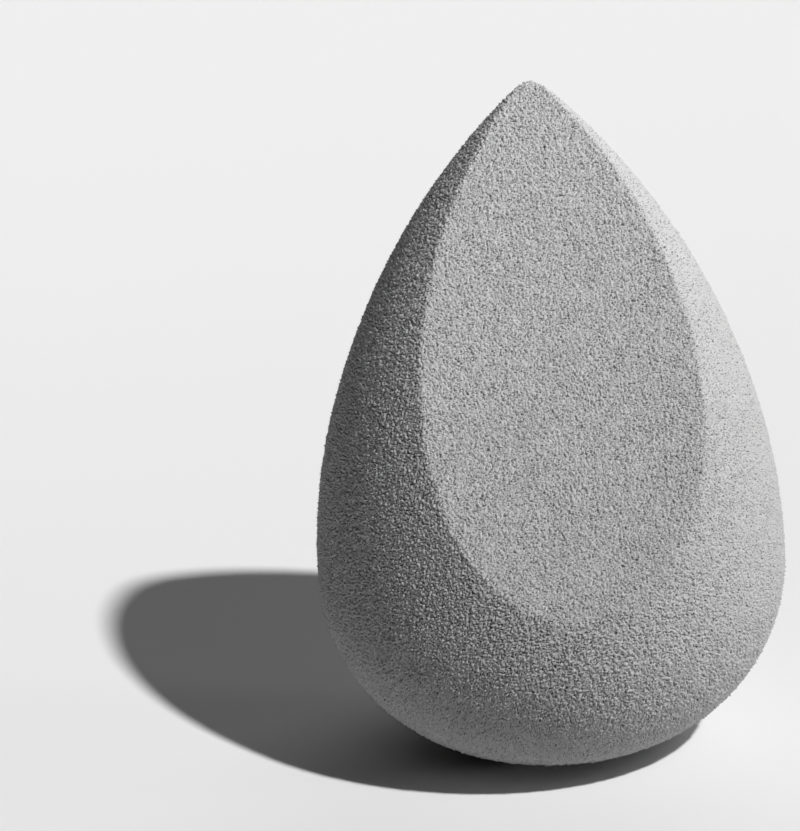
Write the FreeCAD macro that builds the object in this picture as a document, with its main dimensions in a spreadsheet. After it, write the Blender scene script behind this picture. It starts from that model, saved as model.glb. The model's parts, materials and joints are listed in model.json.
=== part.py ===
"""A teardrop makeup sponge: one piece of fine open-cell foam with one slanted flat cut.

Frame: +Z up. The origin is the middle of the foot that the sponge stands on, and the slanted cut
faces -Y. Lengths are in millimetres, angles in degrees. A share is a part of the size that it follows.
"""
import FreeCAD, Part
import math
import os
import Sketcher
from FreeCAD import Vector

# Driving dimensions: name, value and what it measures
DIMENSIONS = [
    ("teardrop_height", 60.2, "from the foot to the top of the tip, before the slanted cut"),
    ("belly_diameter", 40.6, "widest diameter"),
    ("belly_height", 16.4, "height of the widest circle above the foot"),
    ("foot_diameter", 10.6, "flat that the soft round bottom settles to"),
    ("bottom_turn_angle", 24.0, "how far the round bottom turns up before it meets the side"),
    ("neck_start_radius_share", 0.90, "where the shoulder meets the neck, of the belly radius"),
    ("neck_start_height_share", 0.332, "the same place, of the height from the belly to the tip"),
    ("tip_radius", 1.25, "round at the top of the teardrop"),
    ("cut_tilt_angle", 26.7, "lean of the slanted cut from the vertical"),
    ("cut_below_tip", 1.45, "from the tip down to where the cut crosses the axis"),
    ("rim_radius", 0.6, "soft edge around the slanted cut"),
    ("cut_overrun", 5.0, "how far the cutting wedge reaches past the foam"),
]

# Outline sizes that follow the driving dimensions
BELLY_RADIUS = "dims.belly_diameter / 2"
NECK_START_RADIUS = "dims.neck_start_radius_share * dims.belly_diameter / 2"
NECK_START_HEIGHT = (
    "dims.belly_height + dims.neck_start_height_share * (dims.teardrop_height - dims.belly_height)"
)

# How a sketch numbers a curve's points, and its own origin
START, END, CENTRE = range(1, 4)
ROOT = -1

# A rough outline, which the tangents settle: each arc's bulge, and the bottom's radius over the belly's
FIRST_BULGE_SHARE = 0.08
FIRST_BOTTOM_SHARE = 1.3


def make_dimensions(doc):
    """Keep the driving dimensions in a sheet, each under its own name."""
    sheet = doc.addObject("Spreadsheet::Sheet", "dims")
    for row, (name, value, meaning) in enumerate(DIMENSIONS, start=1):
        sheet.set(f"A{row}", name)
        sheet.set(f"B{row}", str(value))
        sheet.set(f"C{row}", meaning)
        sheet.setAlias(f"B{row}", name)
    doc.recompute()
    return {name: float(sheet.get(name)) for name, _, _ in DIMENSIONS}


def new_sketch(body, plane, name):
    """A sketch on one of the body's own origin planes."""
    sketch = body.newObject("Sketcher::SketchObject", name)
    support = next(feature for feature in body.Origin.OriginFeatures if feature.Role == plane)
    sketch.AttachmentSupport = [(support, "")]
    sketch.MapMode = "FlatFace"
    return sketch


def constrain(sketch, *constraints):
    """Add constraints, each given as its kind and then what it refers to."""
    sketch.addConstraint([Sketcher.Constraint(*constraint) for constraint in constraints])


def dimension(sketch, expression, kind, *refers_to_and_value):
    """Add one dimension and bind it to the sheet."""
    index = sketch.addConstraint(Sketcher.Constraint(kind, *refers_to_and_value))
    sketch.setExpression(f"Constraints[{index}]", expression)


def place(sketch, curve, point, across=None, up=None):
    """Hold a curve's point at a distance across and up from the sketch's origin."""
    now = sketch.getPoint(curve, point)
    if across:
        dimension(sketch, across, "DistanceX", ROOT, START, curve, point, now.x)
    if up:
        dimension(sketch, up, "DistanceY", ROOT, START, curve, point, now.y)


def outward_arc(start, end):
    """A first arc between two points of an outline that runs anticlockwise."""
    chord = end - start
    outward = Vector(chord.y, -chord.x, 0)
    return Part.Arc(start, (start + end) / 2 + outward * FIRST_BULGE_SHARE, end)


def teardrop_profile(body, size):
    """Half the outline: a flat foot, then bottom, side, shoulder, neck and tip as tangent arcs."""
    sketch = new_sketch(body, "XZ_Plane", "teardrop_profile")
    belly = Vector(size["belly_diameter"] / 2, size["belly_height"], 0)
    top = Vector(0, size["teardrop_height"], 0)
    tip_side = top + Vector(size["tip_radius"], -size["tip_radius"], 0) / 2
    turn = math.radians(size["bottom_turn_angle"])
    bottom_centre = Vector(0, belly.x * FIRST_BOTTOM_SHARE, 0)
    side_start = bottom_centre + Vector(math.sin(turn), -math.cos(turn), 0) * bottom_centre.y
    neck_start = Vector(
        belly.x * size["neck_start_radius_share"],
        belly.y + size["neck_start_height_share"] * (top.y - belly.y),
        0,
    )
    middle = Vector(0, 0, 0)
    foot_edge = Vector(size["foot_diameter"] / 2, 0, 0)
    outline = [foot_edge, side_start, belly, neck_start, tip_side, top]

    foot = sketch.addGeometry(Part.LineSegment(middle, foot_edge))
    arcs = [sketch.addGeometry(outward_arc(*ends)) for ends in zip(outline, outline[1:])]
    bottom, side, shoulder, neck, tip = arcs
    axis = sketch.addGeometry(Part.LineSegment(top, middle))
    turn_line = sketch.addGeometry(Part.LineSegment(bottom_centre, side_start), True)

    constrain(
        sketch,
        ("Coincident", foot, START, ROOT, START),
        ("Horizontal", foot),
        ("Coincident", bottom, START, foot, END),
        ("Coincident", axis, START, tip, END),
        ("Coincident", axis, END, ROOT, START),
        ("Vertical", axis),
        ("PointOnObject", bottom, CENTRE, axis),
        ("PointOnObject", tip, CENTRE, axis),
        ("Coincident", turn_line, START, bottom, CENTRE),
        ("Coincident", turn_line, END, bottom, END),
        ("Horizontal", side, CENTRE, side, END),
        *(("Tangent", lower, END, upper, START) for lower, upper in zip(arcs, arcs[1:])),
    )
    place(sketch, foot, END, across="dims.foot_diameter / 2")
    dimension(sketch, "dims.bottom_turn_angle", "Angle", axis, turn_line, turn)
    place(sketch, shoulder, START, across=BELLY_RADIUS, up="dims.belly_height")
    place(sketch, neck, START, across=NECK_START_RADIUS, up=NECK_START_HEIGHT)
    place(sketch, tip, END, up="dims.teardrop_height")
    dimension(sketch, "dims.tip_radius", "Radius", tip, size["tip_radius"])
    return sketch


def cutting_wedge(body, size):
    """The wedge of foam in front of the slanted cut, seen from the side."""
    sketch = new_sketch(body, "YZ_Plane", "cutting_wedge")
    front = -size["belly_diameter"] / 2 - size["cut_overrun"]
    above = size["teardrop_height"] + size["cut_overrun"]
    crossing = Vector(0, size["teardrop_height"] - size["cut_below_tip"], 0)
    tilt = math.radians(size["cut_tilt_angle"])
    low = Vector(front, crossing.y + front / math.tan(tilt), 0)
    high = Vector((above - crossing.y) * math.tan(tilt), above, 0)
    corner = Vector(front, above, 0)

    cut_line = sketch.addGeometry(Part.LineSegment(high, low))
    front_line = sketch.addGeometry(Part.LineSegment(low, corner))
    top_line = sketch.addGeometry(Part.LineSegment(corner, high))
    axis_point = sketch.addGeometry(Part.Point(crossing))

    constrain(
        sketch,
        ("Coincident", cut_line, END, front_line, START),
        ("Coincident", front_line, END, top_line, START),
        ("Coincident", top_line, END, cut_line, START),
        ("Vertical", front_line),
        ("Horizontal", top_line),
        ("Vertical", axis_point, START, ROOT, START),
        ("PointOnObject", axis_point, START, cut_line),
    )
    place(sketch, axis_point, START, up="dims.teardrop_height - dims.cut_below_tip")
    place(sketch, top_line, END, up="dims.teardrop_height + dims.cut_overrun")
    reach = f"{BELLY_RADIUS} + dims.cut_overrun"
    dimension(sketch, reach, "DistanceX", front_line, END, ROOT, START, -front)
    dimension(sketch, "dims.cut_tilt_angle", "Angle", cut_line, END, front_line, START, tilt)
    return sketch


def rim_edges(shape, size):
    """Names of the edges around the slanted cut, which is the flat face that leans up and forwards."""
    tilt = math.radians(size["cut_tilt_angle"])
    facing = Vector(0, -math.cos(tilt), math.sin(tilt))
    flats = [face for face in shape.Faces if isinstance(face.Surface, Part.Plane)]
    cut_face = max(flats, key=lambda face: face.normalAt(0, 0).dot(facing))
    rim = [any(edge.isSame(other) for other in cut_face.Edges) for edge in shape.Edges]
    return [f"Edge{number}" for number, on_rim in enumerate(rim, start=1) if on_rim]


def make_foam_body(doc, size):
    """Turn the teardrop, slice its front off and soften the rim of the slice."""
    body = doc.addObject("PartDesign::Body", "foam_body")

    profile = teardrop_profile(body, size)
    teardrop = body.newObject("PartDesign::Revolution", "teardrop")
    teardrop.Profile = profile
    teardrop.ReferenceAxis = (profile, ["V_Axis"])
    doc.recompute()

    slanted_cut = body.newObject("PartDesign::Pocket", "slanted_cut")
    slanted_cut.Profile = cutting_wedge(body, size)
    slanted_cut.Type = "ThroughAll"
    slanted_cut.SideType = "Symmetric"
    doc.recompute()
    if slanted_cut.Shape.Volume >= teardrop.Shape.Volume:
        raise RuntimeError("the slanted cut took nothing off the teardrop")

    soft_rim = body.newObject("PartDesign::Fillet", "soft_rim")
    soft_rim.Base = (slanted_cut, rim_edges(slanted_cut.Shape, size))
    soft_rim.setExpression("Radius", "dims.rim_radius")
    doc.recompute()
    return body


def check(doc, bodies):
    """Stop if anything in the document failed or a body isn't one sound solid."""
    for item in doc.Objects:
        if "Invalid" in item.State or "Error" in item.State:
            raise RuntimeError(f"{item.Label} failed: {item.State}")
    for body in bodies:
        if body.Shape.isNull() or not body.Shape.isValid() or len(body.Shape.Solids) != 1:
            raise RuntimeError(f"{body.Label} isn't one sound solid")


def main():
    doc = FreeCAD.newDocument("makeup_sponge")
    size = make_dimensions(doc)
    bodies = [make_foam_body(doc, size)]
    check(doc, bodies)
    os.makedirs("parts", exist_ok=True)
    for body in bodies:
        body.Shape.exportStep(f"parts/{body.Label}.step")
        box = body.Shape.BoundBox
        print(f"{body.Label}: {box.XLength:.2f} x {box.YLength:.2f} x {box.ZLength:.2f} mm, "
              f"{body.Shape.Volume / 1000:.2f} cm3")


main()
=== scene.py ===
# %% [markdown]
# A makeup sponge is one piece of soft open-cell foam: a teardrop that was sliced once, so that it has
# a flat face as well as a point. The CAD part gives its true size and stands in this scene as a fixed
# frame. The lesson models the foam afresh over that solid, gives it its fine cells, and lights it.

# %% Load the packed part
import json
from math import atan2, cos, pi, radians, sin

import bpy
from mathutils import Euler, Matrix, Vector


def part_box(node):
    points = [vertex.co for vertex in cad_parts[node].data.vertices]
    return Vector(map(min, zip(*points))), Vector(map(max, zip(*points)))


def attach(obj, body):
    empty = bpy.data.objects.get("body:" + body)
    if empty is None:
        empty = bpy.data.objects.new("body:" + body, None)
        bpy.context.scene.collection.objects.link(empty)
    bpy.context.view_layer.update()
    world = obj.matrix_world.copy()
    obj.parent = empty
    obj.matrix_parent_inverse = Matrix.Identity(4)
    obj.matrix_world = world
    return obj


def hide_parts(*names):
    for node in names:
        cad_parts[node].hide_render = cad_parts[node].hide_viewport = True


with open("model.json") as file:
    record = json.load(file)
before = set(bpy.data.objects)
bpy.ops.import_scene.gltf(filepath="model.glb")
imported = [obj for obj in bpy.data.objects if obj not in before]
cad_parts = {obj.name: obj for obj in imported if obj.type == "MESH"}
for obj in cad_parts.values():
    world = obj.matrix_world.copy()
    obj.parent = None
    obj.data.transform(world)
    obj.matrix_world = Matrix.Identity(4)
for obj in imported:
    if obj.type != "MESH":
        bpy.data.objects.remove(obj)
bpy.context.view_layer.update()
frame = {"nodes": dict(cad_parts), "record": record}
MM = 0.001

# %% [markdown]
# A long lens from half a metre away looks slightly down at the sponge, and the flat face looks back.
# The camera could be aimed with a constraint, but a matrix is plainer: three directions, right, up and
# back, and the point that they start from. The sponge stands right of the middle, to leave room for
# its shadow, and the camera leans a little, so the point tips to the left.

# %% Set the camera
CAMERA_AZIMUTH = radians(-5.99)
CAMERA_ELEVATION = radians(20.02)
CAMERA_ROLL = radians(-3.03)
CAMERA_DISTANCE = 500 * MM
MIDDLE_HEIGHT = 27 * MM
ASIDE, ABOVE = -12.684 * MM, 2.761 * MM
IMAGE_WIDTH, IMAGE_HEIGHT = 800, 831
FOCAL_PIXELS = 5756.1
SENSOR = 36.0
NEAREST, FARTHEST = 0.01, 100.0


def toward(azimuth, elevation):
    """The direction that points out to a place at these angles; azimuth 0 is in front of the flat face."""
    return Vector((sin(azimuth) * cos(elevation), -cos(azimuth) * cos(elevation), sin(elevation)))


back = toward(CAMERA_AZIMUTH, CAMERA_ELEVATION)
across = Vector((cos(CAMERA_AZIMUTH), sin(CAMERA_AZIMUTH), 0))
lean = Matrix.Rotation(CAMERA_ROLL, 3, back)
right = lean @ across
up = lean @ back.cross(across)
aim = Vector((0, 0, MIDDLE_HEIGHT)) + ASIDE * right + ABOVE * up

bpy.ops.object.camera_add()
camera = bpy.context.active_object
camera.name = "long_lens"
turned = Matrix((right, up, back)).transposed().to_4x4()
camera.matrix_world = Matrix.Translation(aim + CAMERA_DISTANCE * back) @ turned
camera.data.sensor_width = SENSOR
camera.data.lens = FOCAL_PIXELS * SENSOR / max(IMAGE_WIDTH, IMAGE_HEIGHT)
camera.data.clip_start, camera.data.clip_end = NEAREST, FARTHEST
scene = bpy.context.scene
scene.camera = camera
scene.view_settings.view_transform = "Standard"
print("lens", round(camera.data.lens, 1), "mm at", [round(side / MM, 1) for side in camera.location], "mm")

# %% [markdown]
# Every finish and relief below is a small sum of patterns, so it helps to write it as a sum. A Strand
# holds one socket of a node tree. Adding or multiplying strands adds Math nodes, and put() adds any
# other node, with its settings and what goes into its sockets. The same class serves materials, the
# world and geometry nodes, because all three are node trees.

# %% A socket that can do sums


class Strand:
    """One socket of a node tree: sums on it add Math nodes, and put() adds any other node."""

    def __init__(self, tree, socket=None):
        self.tree = tree
        self.socket = socket

    def put(self, kind, settings=(), sockets=(), out=None):
        """Adds a node: its settings first, then its sockets' values or links. out names the output."""
        node = self.tree.nodes.new(kind)
        for name, value in dict(settings).items():
            setattr(node, name, value)
        places = {place.identifier: place for place in node.inputs}
        for name, value in dict(sockets).items():
            if isinstance(value, Strand):
                self.tree.links.new(value.socket, places[name])
            else:
                places[name].default_value = value
        results = {place.identifier: place for place in node.outputs}
        return Strand(self.tree, results[out] if out else next(iter(node.outputs), None))

    def sum(self, operation, first, second):
        """One Math node on two values or strands."""
        sockets = {"Value": first, "Value_001": second}
        return self.put("ShaderNodeMath", {"operation": operation}, sockets)

    def arrow(self, operation, other, out="Vector"):
        """One Vector Math node on this vector and another."""
        sockets = {"Vector": self, "Vector_001": other}
        return self.put("ShaderNodeVectorMath", {"operation": operation}, sockets, out)

    def stretch(self, factor):
        """This vector, made longer or shorter."""
        sockets = {"Vector": self, "Scale": factor}
        return self.put("ShaderNodeVectorMath", {"operation": "SCALE"}, sockets, "Vector")

    def ease(self, low, high, start=0.0, end=1.0):
        """Runs softly from start to end while this value goes from low to high."""
        ends = {"From Min": low, "From Max": high, "To Min": start, "To Max": end}
        return self.put("ShaderNodeMapRange", {"interpolation_type": "SMOOTHSTEP"}, {"Value": self, **ends})

    def __add__(self, other):
        return self.sum("ADD", self, other)

    def __sub__(self, other):
        return self.sum("SUBTRACT", self, other)

    def __rsub__(self, other):
        return self.sum("SUBTRACT", other, self)

    def __mul__(self, other):
        return self.sum("MULTIPLY", self, other)

    __radd__ = __add__
    __rmul__ = __mul__


def new_finish(name):
    """An empty material and a strand of its tree."""
    material = bpy.data.materials.new(name)
    material.use_nodes = True
    material.node_tree.nodes.clear()
    return material, Strand(material.node_tree)


def when_shown(strand, shown, hidden):
    """One value where a surface is seen, straight, mirrored or through glass, and another elsewhere."""
    straight = strand.put("ShaderNodeLightPath", out="Is Camera Ray")
    mirrored = strand.put("ShaderNodeLightPath", out="Is Glossy Ray")
    through = strand.put("ShaderNodeLightPath", out="Is Transmission Ray")
    seen = strand.sum("MAXIMUM", straight, strand.sum("MAXIMUM", mirrored, through))
    return seen * (shown - hidden) + hidden


print("sums ready:", [name for name in vars(Strand) if not name.startswith("__")])

# %% [markdown]
# The sponge stands on a plain pale sheet, and light is painted into its colour: it grows lighter towards
# the back. A picture could be laid on it, but a colour that eases from one value to another along the sheet
# needs none. What the sheet throws back is most of the light that the underside of the sponge gets.

# %% Make the floor
FLOOR_SIDE = 12.0
TO_THE_BACK = (0, 1, 0)
FLOOR_NEAR, FLOOR_FAR = 0.84, 0.95
FADE_START, FADE_END = -0.10, 0.22

bpy.ops.object.select_all(action="DESELECT")
bpy.ops.mesh.primitive_plane_add(size=FLOOR_SIDE)
floor = bpy.context.active_object
floor.name = "pale_floor"
paper, strand = new_finish("pale_paper")
place = strand.put("ShaderNodeTexCoord", out="Object")
along = place.arrow("DOT_PRODUCT", TO_THE_BACK, "Value")
# painted light: the floor's colour grows lighter towards the back
painted_light_fade = along.ease(FADE_START, FADE_END, FLOOR_NEAR, FLOOR_FAR)
sheet = painted_light_fade.put("ShaderNodeBsdfDiffuse", {}, {"Color": painted_light_fade})
sheet.put("ShaderNodeOutputMaterial", {}, {"Surface": sheet})
floor.data.materials.append(paper)
print("floor", [round(side, 2) for side in floor.dimensions], "m, tones", FLOOR_NEAR, "to", FLOOR_FAR)

# %% [markdown]
# One small lamp far off to the right, above the camera's shoulder, throws the shadow long and dark to the
# left and rakes across the foam, which is what makes its grain show. A sun lamp gives just that, and its
# angle sets how fast the shadow's edge softens. A pale wall behind and a white card on the right fill in
# the rest. Both are sun lamps too, because an area lamp close by would burn a bright spot into the pale
# floor. The wall has a wide angle, so that its own shadow melts away. The card stands so low that it lights
# the side of the sponge and hardly touches the floor. The room itself adds next to nothing.

# %% Light it
KEY = {"azimuth": radians(36.6), "elevation": radians(47.3), "angle": radians(2.4), "level": 1.08}
WALL = {"azimuth": radians(150), "elevation": radians(20), "angle": radians(60), "level": 0.25}
CARD = {"azimuth": radians(80), "elevation": radians(1.5), "angle": radians(8), "level": 0.60}
ROOM_LEVEL = 0.01
PALE = 0.90


def far_light(name, azimuth, elevation, angle, level):
    """A sun lamp: at level 1 a surface that faces it shows its own colour."""
    bpy.ops.object.light_add(type="SUN")
    lamp = bpy.context.active_object
    lamp.name = name
    lamp.rotation_mode = "QUATERNION"
    lamp.rotation_quaternion = toward(azimuth, elevation).to_track_quat("Z", "Y")
    lamp.data.angle = angle
    lamp.data.energy = level * pi


far_light("far_lamp", **KEY)
far_light("pale_wall", **WALL)
far_light("white_card", **CARD)

room = bpy.data.worlds.new("soft_room")
scene.world = room
room.use_nodes = True
room.node_tree.nodes.clear()
level = when_shown(Strand(room.node_tree), PALE, ROOM_LEVEL)
sky = level.put("ShaderNodeBackground", {}, {"Color": (1, 1, 1, 1), "Strength": level})
sky.put("ShaderNodeOutputWorld", {}, {"Surface": sky})
print("key", KEY["level"], "wall", WALL["level"], "card", CARD["level"], "room", ROOM_LEVEL)

# %% [markdown]
# The real sponge is ground or moulded to a teardrop, and the slice comes last. The same order works
# here. The outline is a chain of arcs, each tangent to the next, as a lathe would follow it: a flat foot,
# the bottom, the side up to the belly, the shoulder, the neck and the tip. Each centre follows from the
# arc before it, so only the few sizes that a maker would measure are written down.

# %% Work out the arcs
CAD_NODE = "foam_body"
low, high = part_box(CAD_NODE)
BELLY_RADIUS = high.x
BELLY_HEIGHT = 16.4 * MM
FOOT_RADIUS = 5.3 * MM
BOTTOM_TURN = radians(24.0)
NECK_SHARE = 0.90
NECK_HEIGHT = 30.94 * MM
TEARDROP_HEIGHT = 60.2 * MM
TIP_RADIUS = 1.25 * MM

# The bottom arc is centred on the axis and meets the foot; the side arc is tangent to it and to the belly.
turn = Vector((sin(BOTTOM_TURN), -cos(BOTTOM_TURN)))
squared = (1 - turn.x) ** 2 - turn.y ** 2
half = BELLY_RADIUS * (1 - turn.x) + BELLY_HEIGHT * turn.y
rest = BELLY_RADIUS ** 2 - FOOT_RADIUS ** 2 - BELLY_HEIGHT ** 2
apart = (-half - (half ** 2 - squared * rest) ** 0.5) / squared
side_size = BELLY_RADIUS - apart * turn.x
bottom_size = side_size + apart
bottom_centre = Vector((0, BELLY_HEIGHT - apart * turn.y))
side_centre = Vector((BELLY_RADIUS - side_size, BELLY_HEIGHT))

# The shoulder leaves the belly upright and passes the start of the neck, which bends on into the tip.
neck_start = Vector((NECK_SHARE * BELLY_RADIUS, NECK_HEIGHT))
inward, rise = BELLY_RADIUS - neck_start.x, neck_start.y - BELLY_HEIGHT
shoulder_size = (inward ** 2 + rise ** 2) / (2 * inward)
shoulder_centre = Vector((BELLY_RADIUS - shoulder_size, BELLY_HEIGHT))
outward = (neck_start - shoulder_centre).normalized()
tip_centre = Vector((0, TEARDROP_HEIGHT - TIP_RADIUS))
gap = tip_centre - neck_start
neck_size = (TIP_RADIUS ** 2 - gap.length_squared) / (2 * (gap.dot(outward) + TIP_RADIUS))
neck_centre = neck_start - neck_size * outward
sizes = (bottom_size, side_size, shoulder_size, neck_size, TIP_RADIUS)
print("arcs in mm:", [round(size / MM, 2) for size in sizes])

# %% [markdown]
# An arc is only a centre, a size and two angles until points are placed along it. Their number follows from
# the arc's length, so every step is about as long as the next and no part of the outline is starved.

# %% Walk along the outline
STEP = 0.9 * MM
FEWEST = 4


def walk(centre, size, start, end):
    """Points (radius, height) along an arc round centre, about one step apart, without the first."""
    count = max(FEWEST, round(size * abs(end - start) / STEP))
    angles = [start + (end - start) * number / count for number in range(1, count + 1)]
    return [centre + size * Vector((cos(angle), sin(angle))) for angle in angles]


def angle_of(point):
    """The angle at which a point lies, seen from the arc's centre."""
    return atan2(point.y, point.x)


foot_angle = angle_of(Vector((FOOT_RADIUS, 0)) - bottom_centre)
neck_angle = angle_of(outward)
tip_angle = angle_of(tip_centre - neck_centre)
outline = [Vector((FOOT_RADIUS, 0))]
outline += walk(bottom_centre, bottom_size, foot_angle, angle_of(turn))
outline += walk(side_centre, side_size, angle_of(turn), 0)
outline += walk(shoulder_centre, shoulder_size, 0, neck_angle)
outline += walk(neck_centre, neck_size, neck_angle, tip_angle)
outline += walk(tip_centre, TIP_RADIUS, tip_angle, pi / 2)[:-1]
widest = max(point.x for point in outline)
print(len(outline), "rings, the widest", round(widest / MM, 2), "mm from the axis")

# %% [markdown]
# A ring is drawn at the foot and pulled up the outline: extrude to the next height, scale to its radius,
# and again. Spinning the outline would give the same skin, but this way it starts and ends closed.

# %% Pull the ring up
RING_STEPS = 160

bpy.ops.object.select_all(action="DESELECT")
bpy.ops.mesh.primitive_circle_add(vertices=RING_STEPS, radius=FOOT_RADIUS, fill_type="NGON")
sponge = bpy.context.active_object
sponge.name = "sponge"
bpy.ops.object.mode_set(mode="EDIT")
for before, after in zip(outline, outline[1:]):
    bpy.ops.mesh.extrude_region_move(TRANSFORM_OT_translate={"value": (0, 0, after.y - before.y)})
    grow = after.x / before.x
    bpy.ops.transform.resize(value=(grow, grow, 1), center_override=(0, 0, after.y))
bpy.ops.mesh.merge(type="CENTER")
bpy.ops.mesh.select_all(action="SELECT")
bpy.ops.mesh.normals_make_consistent(inside=False)
bpy.ops.object.mode_set(mode="OBJECT")
print("teardrop:", len(sponge.data.polygons), "faces, top at", round(sponge.dimensions.z / MM, 2), "mm")

# %% [markdown]
# One slanted slice makes the flat face. Bisect cuts with a plane, throws away the side that the plane's
# normal points to, and fills the hole. The packed record knows the plane, as the mount called cut_face,
# so the slice here follows the slice in the solid. Corners that lie within a tenth of a millimetre of the
# plane count as on it, which is bisect's own tolerance, so the face is flat to about that much.

# %% Slice it
cut = next(mount for mount in frame["record"]["mounts"] if mount["name"] == "cut_face")
bpy.ops.object.mode_set(mode="EDIT")
bpy.ops.mesh.select_all(action="SELECT")
bpy.ops.mesh.bisect(plane_co=cut["pos_m"], plane_no=cut["axis"], use_fill=True, clear_outer=True)
bpy.ops.object.mode_set(mode="OBJECT")
print("sliced:", len(sponge.data.polygons), "faces, top at", round(sponge.dimensions.z / MM, 2), "mm")

# %% [markdown]
# Foam has no seams or rows, so its mesh should have none either. A voxel remesh trades the rings for
# small even quads, and some passes of smoothing take the stair steps out and leave the rim of the slice
# as soft as a blade leaves it. The voxels lie along the axes, and rows of them would show in the grain,
# so the sponge is turned askew for the remesh and turned back afterwards.

# %% Even out the skin
VOXEL = 0.100 * MM
SMOOTH_FACTOR, SMOOTH_PASSES = 0.5, 18
ASKEW = Euler((0.6, 0.5, 0.3)).to_matrix().to_4x4()


def choose():
    """Makes the sponge the one selected and active object."""
    bpy.ops.object.select_all(action="DESELECT")
    sponge.select_set(True)
    bpy.context.view_layer.objects.active = sponge


def finish_with(kind, **settings):
    """Adds a modifier to the sponge, sets it and applies it."""
    modifier = sponge.modifiers.new(kind.lower(), kind)
    for name, value in settings.items():
        setattr(modifier, name, value)
    choose()
    bpy.ops.object.modifier_apply(modifier=modifier.name)


def turn_by(turning):
    """Turns the sponge's mesh and leaves the object itself unturned."""
    sponge.matrix_world = turning
    choose()
    bpy.ops.object.transform_apply(location=False, rotation=True, scale=False)


turn_by(ASKEW)
finish_with("REMESH", mode="VOXEL", voxel_size=VOXEL, adaptivity=0.0)
finish_with("SMOOTH", factor=SMOOTH_FACTOR, iterations=SMOOTH_PASSES)
turn_by(ASKEW.inverted())
print("even skin:", len(sponge.data.polygons), "faces, top at", round(sponge.dimensions.z / MM, 2), "mm")

# %% [markdown]
# Close to, foam is never smooth: grinding and slicing cut its cells open, and their walls stand up as
# grains of a fifth of a millimetre. A bump in the material would fake them, but the lamp rakes across the
# side of the sponge, where only true relief throws true small shadows. So every corner of the fine mesh is
# moved along its normal by a sum of noises: coarse grain, fine grain and a faint wave, as grinding leaves.
# Geometry nodes do it in one go and note where each corner came from, for the colour to follow. No corner
# goes below the floor, because the foam is pressed flat where it stands.

# %% Raise the relief
GRAIN, FINE_GRAIN, WAVE = 0.16, 0.09, 2.6
FINE_SHARE = 0.5
GRAIN_DEPTH = 0.98 * MM
WAVE_DEPTH, WAVE_DETAIL = 0.06 * MM, 1.0
MIDDLE = 0.5
NO_LOWER = (-1, -1, 0)
EVERY = 997


def noise(spot, size, detail=0.0):
    """A soft random pattern round the middle value, with spots of about this size in millimetres."""
    return spot.put("ShaderNodeTexNoise", {}, {"Vector": spot, "Scale": 1 / size, "Detail": detail}, "Fac")


def grain(spot):
    """How high the skin stands at a place: the open cells and the bits of wall between them."""
    return noise(spot, GRAIN) * (1 - FINE_SHARE) + noise(spot, FINE_GRAIN) * FINE_SHARE


cells = bpy.data.node_groups.new("open_cells", "GeometryNodeTree")
cells.interface.new_socket("Geometry", in_out="INPUT", socket_type="NodeSocketGeometry")
way_out = cells.interface.new_socket("Geometry", in_out="OUTPUT", socket_type="NodeSocketGeometry")
strand = Strand(cells)
smooth_skin = strand.put("NodeGroupInput")
place = strand.put("GeometryNodeInputPosition")
outwards = strand.put("GeometryNodeInputNormal")
spot = place.stretch(1 / MM)
wave = noise(spot, WAVE, WAVE_DETAIL)
height = (grain(spot) - MIDDLE) * GRAIN_DEPTH + (wave - MIDDLE) * WAVE_DEPTH
lifted = place.arrow("ADD", outwards.stretch(height)).arrow("MAXIMUM", NO_LOWER)
note = {"data_type": "FLOAT_VECTOR", "domain": "POINT"}
origin = {"Geometry": smooth_skin, "Name": "spot", "Value": spot}
noted = strand.put("GeometryNodeStoreNamedAttribute", note, origin)
rough_skin = strand.put("GeometryNodeSetPosition", {}, {"Geometry": noted, "Position": lifted})
strand.put("NodeGroupOutput", {}, {way_out.identifier: rough_skin})
finish_with("NODES", node_group=cells)
bpy.ops.object.shade_smooth()
some = [point.co for point in sponge.data.vertices[:]][::EVERY]
near = [frame["nodes"][CAD_NODE].closest_point_on_mesh(point)[1] for point in some]
off = [(found - point).length / MM for found, point in zip(near, some)]
print("off the CAD solid by", round(sum(off) / len(off), 3), "mm, at most", round(max(off), 3), "mm")
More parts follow.
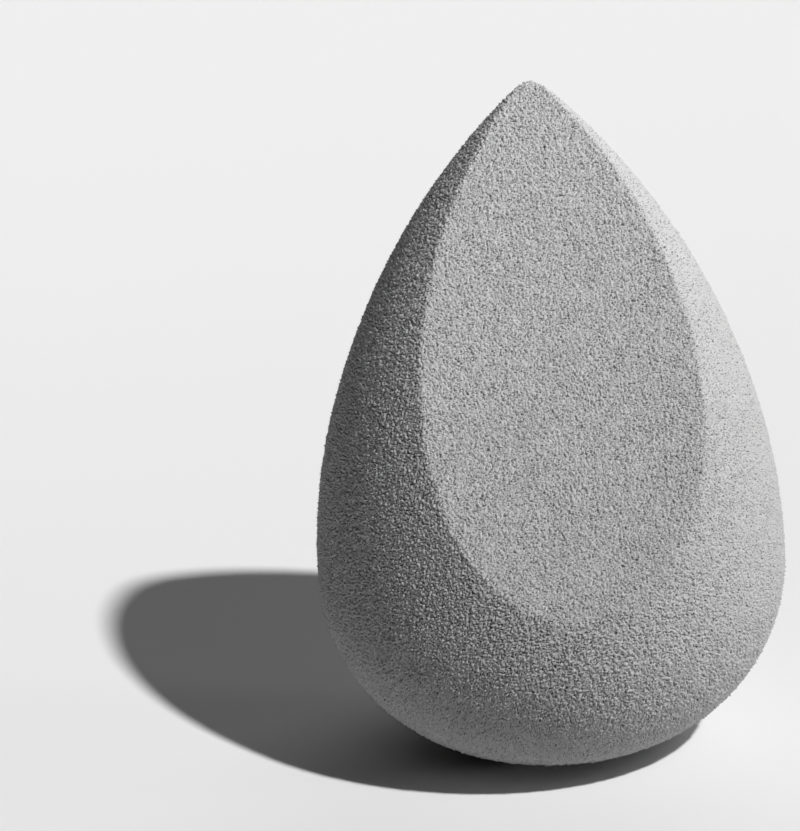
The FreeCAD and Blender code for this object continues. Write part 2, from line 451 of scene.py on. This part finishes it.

# %% [markdown]
# The foam is dyed through, so it has one grey, and shade is painted into it: an open cell is painted darker
# than the wall beside it, where light goes in and hardly comes out. That painted shade follows the same
# grain that raised the relief, plus finer random flecks, darker and lighter, that paint shade into cells
# too small for the mesh.
# A faint blotch keeps it from looking printed, and painted light makes the foam lighter towards the tip and
# darker towards the foot. It could all be painted, but noise in the foam's own space has no seams. The skin
# is dull all over, a touch duller in the cells, and a bump from the flecks gives the smallest cells their
# edges.

# %% Mix the foam
FOAM_TONE = 0.41
PIT_FROM, PIT_TO, PIT_SHADE_TONE = 0.47, 0.33, 0.60
FLECK = 0.09
FLECK_FROM, FLECK_TO = 0.26, 0.46
FLECK_SHADE, FLECK_PALE = 0.10, 1.08
BLOTCH, BLOTCH_DETAIL, BLOTCH_SWING = 1.7, 2.0, 0.16
TIP_PAINTED_LIGHT = 0.21
DULL, DULLER = 0.88, 0.98
BUMP_STRENGTH, BUMP_DEPTH = 0.5, 0.03 * MM
SHINE = 0.15

foam, strand = new_finish("open_cell_foam")
spot = strand.put("ShaderNodeAttribute", {"attribute_name": "spot"}, {}, "Vector")
# painted shade: the open cells, where the grain is low, are darkened in the colour
pit_shade_and_dullness = grain(spot).ease(PIT_FROM, PIT_TO)
speckle = noise(spot, FLECK)
# partly random grain, partly painted shade in the cells too small for the mesh
fleck_shade_and_grain = speckle.ease(FLECK_FROM, FLECK_TO, FLECK_SHADE, FLECK_PALE)
blotch = (noise(spot, BLOTCH, BLOTCH_DETAIL) - MIDDLE) * BLOTCH_SWING + 1
# painted light: the colour grows lighter towards the tip and darker towards the foot
tall = spot.arrow("DOT_PRODUCT", (0, 0, MM / high.z), "Value")
painted_light_to_tip = (tall - MIDDLE) * (2 * TIP_PAINTED_LIGHT) + 1
shade = (1 - pit_shade_and_dullness * (1 - PIT_SHADE_TONE)) * fleck_shade_and_grain * blotch * painted_light_to_tip * FOAM_TONE
dull = pit_shade_and_dullness * (DULLER - DULL) + DULL
bump = {"Strength": BUMP_STRENGTH, "Distance": BUMP_DEPTH, "Height": speckle}
edges = strand.put("ShaderNodeBump", {}, bump)
looks = {"Base Color": shade, "Roughness": dull, "Specular IOR Level": SHINE, "Normal": edges}
skin = strand.put("ShaderNodeBsdfPrincipled", {}, looks)
skin.put("ShaderNodeOutputMaterial", {}, {"Surface": skin})
sponge.data.materials.append(foam)
print("foam:", len(foam.node_tree.nodes), "nodes, grey", FOAM_TONE)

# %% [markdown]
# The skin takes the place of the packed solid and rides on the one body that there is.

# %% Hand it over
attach(sponge, "root")
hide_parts(CAD_NODE)
